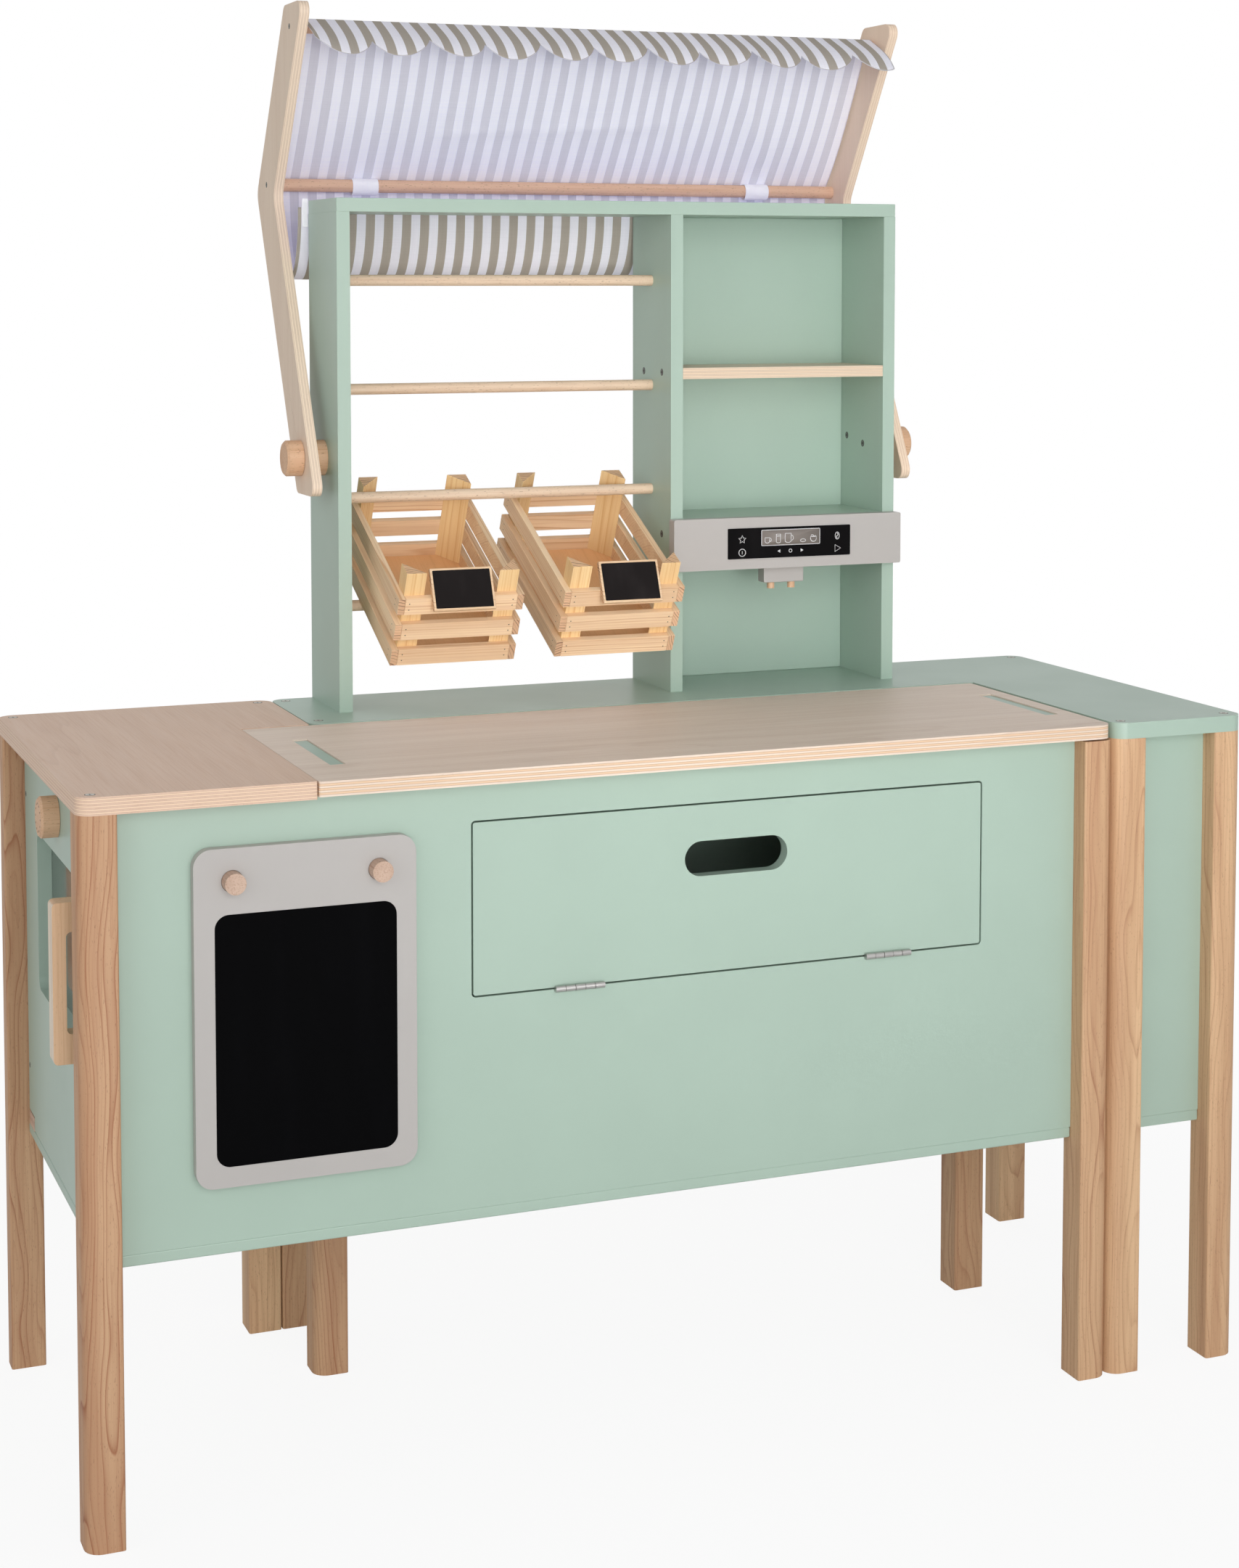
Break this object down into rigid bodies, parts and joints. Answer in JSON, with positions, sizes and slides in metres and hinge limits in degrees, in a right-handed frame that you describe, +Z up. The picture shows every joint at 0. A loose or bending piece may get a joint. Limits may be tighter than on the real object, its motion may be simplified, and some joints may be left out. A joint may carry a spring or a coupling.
{
  "type": "toy market stall",
  "caption": "Wooden toy market stall of two nested L-shaped counters with oven end, fold-down flap, chalkboard, shelf with rods and toy machine, slatted crates and a striped swinging awning",
  "frame": {"origin": "on the floor, below the middle of the whole stall's box", "axes": "+X to the stall's right as seen from the front, +Y from the front to the back, +Z up"},
  "size_m": [1.0314, 0.5026, 1.203],
  "materials": {
    "mint": "satin lacquer, pale green",
    "plywood": "clear matt lacquer on birch plywood",
    "pine": "clear satin lacquer, visible grain",
    "beech": "clear satin lacquer, turned",
    "grey": "satin lacquer, warm grey",
    "slate": "matt black board paint",
    "display": "printed black plate",
    "steel": "bright steel",
    "clear": "clear polished sheet",
    "stripe": "woven cotton with printed stripes",
    "white": "white webbing"
  },
  "bodies": {
    "front_counter": {"front_legs": "pine", "front_panel": "mint", "oven_partition": "mint", "right_end_panel": "mint", "front_back_panel": "mint", "oven_back_panel": "mint", "front_floor": "mint", "counter_top": "plywood", "pivot_block": "beech", "chalkboard_pegs": "beech", "hinge_fixed_leaves": "steel"},
    "lid": {"counter_lid": "plywood"},
    "flap": {"flap": "mint", "hinge_flap_leaves": "steel"},
    "oven_door": {"oven_door": "mint", "oven_window": "clear", "oven_handle": "beech", "oven_door_pins": "steel"},
    "oven_knob": {"oven_knob": "beech"},
    "chalkboard": {"chalkboard_frame": "grey", "chalkboard_slate": "slate"},
    "rear_counter": {"rear_legs": "pine", "rear_top": "mint", "rear_floor": "mint", "wing_front_panel": "mint", "wing_inner_panel": "mint", "rear_front_panel": "mint", "right_side_panel": "mint", "rear_left_panel": "mint", "rear_back_panel": "mint", "shelf_left": "mint", "shelf_divider": "mint", "shelf_right": "mint", "shelf_top": "mint", "shelf_back": "mint", "shelf_board": "plywood", "machine_shelf": "mint", "machine_front": "grey", "machine_display": "display", "machine_spout": "grey", "spout_nozzles": "beech", "hanging_rods": "beech", "awning_spacers": "beech", "cloth_strip": "white"},
    "awning": {"awning_arm_left": "plywood", "awning_arm_right": "plywood", "awning_rods": "beech", "awning_cloth": "stripe", "awning_slack": "stripe", "awning_straps": "white"},
    "awning_knob_left": {"awning_knob_left": "beech"},
    "awning_knob_right": {"awning_knob_right": "beech"},
    "crate_left": {"crate_left_slats": "pine", "crate_left_posts": "pine", "crate_left_floor": "plywood", "crate_left_price_board": "pine"},
    "crate_right": {"crate_right_slats": "pine", "crate_right_posts": "pine", "crate_right_floor": "plywood", "crate_right_price_board": "pine"}
  },
  "joints": [
    {"name": "lid_lift", "type": "slide", "parent": "front_counter", "child": "lid", "axis": [0, 0, 1], "range_m": [0, 0.04]},
    {"name": "flap_hinge", "type": "hinge", "parent": "front_counter", "child": "flap", "pos_m": [0.03525, -0.23319, 0.39125], "axis": [1, 0, 0], "range_deg": [0, 175]},
    {"name": "door_hinge", "type": "hinge", "parent": "front_counter", "child": "oven_door", "pos_m": [-0.48125, 0.10671, 0.39125], "axis": [0, 0, -1], "range_deg": [0, 95]},
    {"name": "dial_turn", "type": "hinge", "parent": "oven_door", "child": "oven_knob", "pos_m": [-0.48725, -0.05129, 0.524], "axis": [1, 0, 0], "continuous": true},
    {"name": "chalkboard_lift", "type": "slide", "parent": "front_counter", "child": "chalkboard", "axis": [0, -1, 0], "range_m": [0, 0.04]},
    {"name": "counters_part", "type": "slide", "parent": "front_counter", "child": "rear_counter", "axis": [0, 1, 0], "range_m": [0, 0.3]},
    {"name": "awning_swing", "type": "hinge", "parent": "rear_counter", "child": "awning", "pos_m": [0.05225, 0.10121, 0.799], "axis": [1, 0, 0], "range_deg": [0, 48], "deforming": ["awning_slack"]},
    {"name": "knob_left_turn", "type": "hinge", "parent": "rear_counter", "child": "awning_knob_left", "pos_m": [-0.25125, 0.10121, 0.799], "axis": [1, 0, 0], "continuous": true},
    {"name": "knob_right_turn", "type": "hinge", "parent": "rear_counter", "child": "awning_knob_right", "pos_m": [0.35575, 0.10121, 0.799], "axis": [1, 0, 0], "continuous": true},
    {"name": "crate_left_slide", "type": "slide", "parent": "rear_counter", "child": "crate_left", "axis": [0, 0.8988, 0.4384], "range_m": [0, 0.1]},
    {"name": "crate_right_slide", "type": "slide", "parent": "rear_counter", "child": "crate_right", "axis": [0, 0.8988, 0.4384], "range_m": [0, 0.1]}
  ]
}
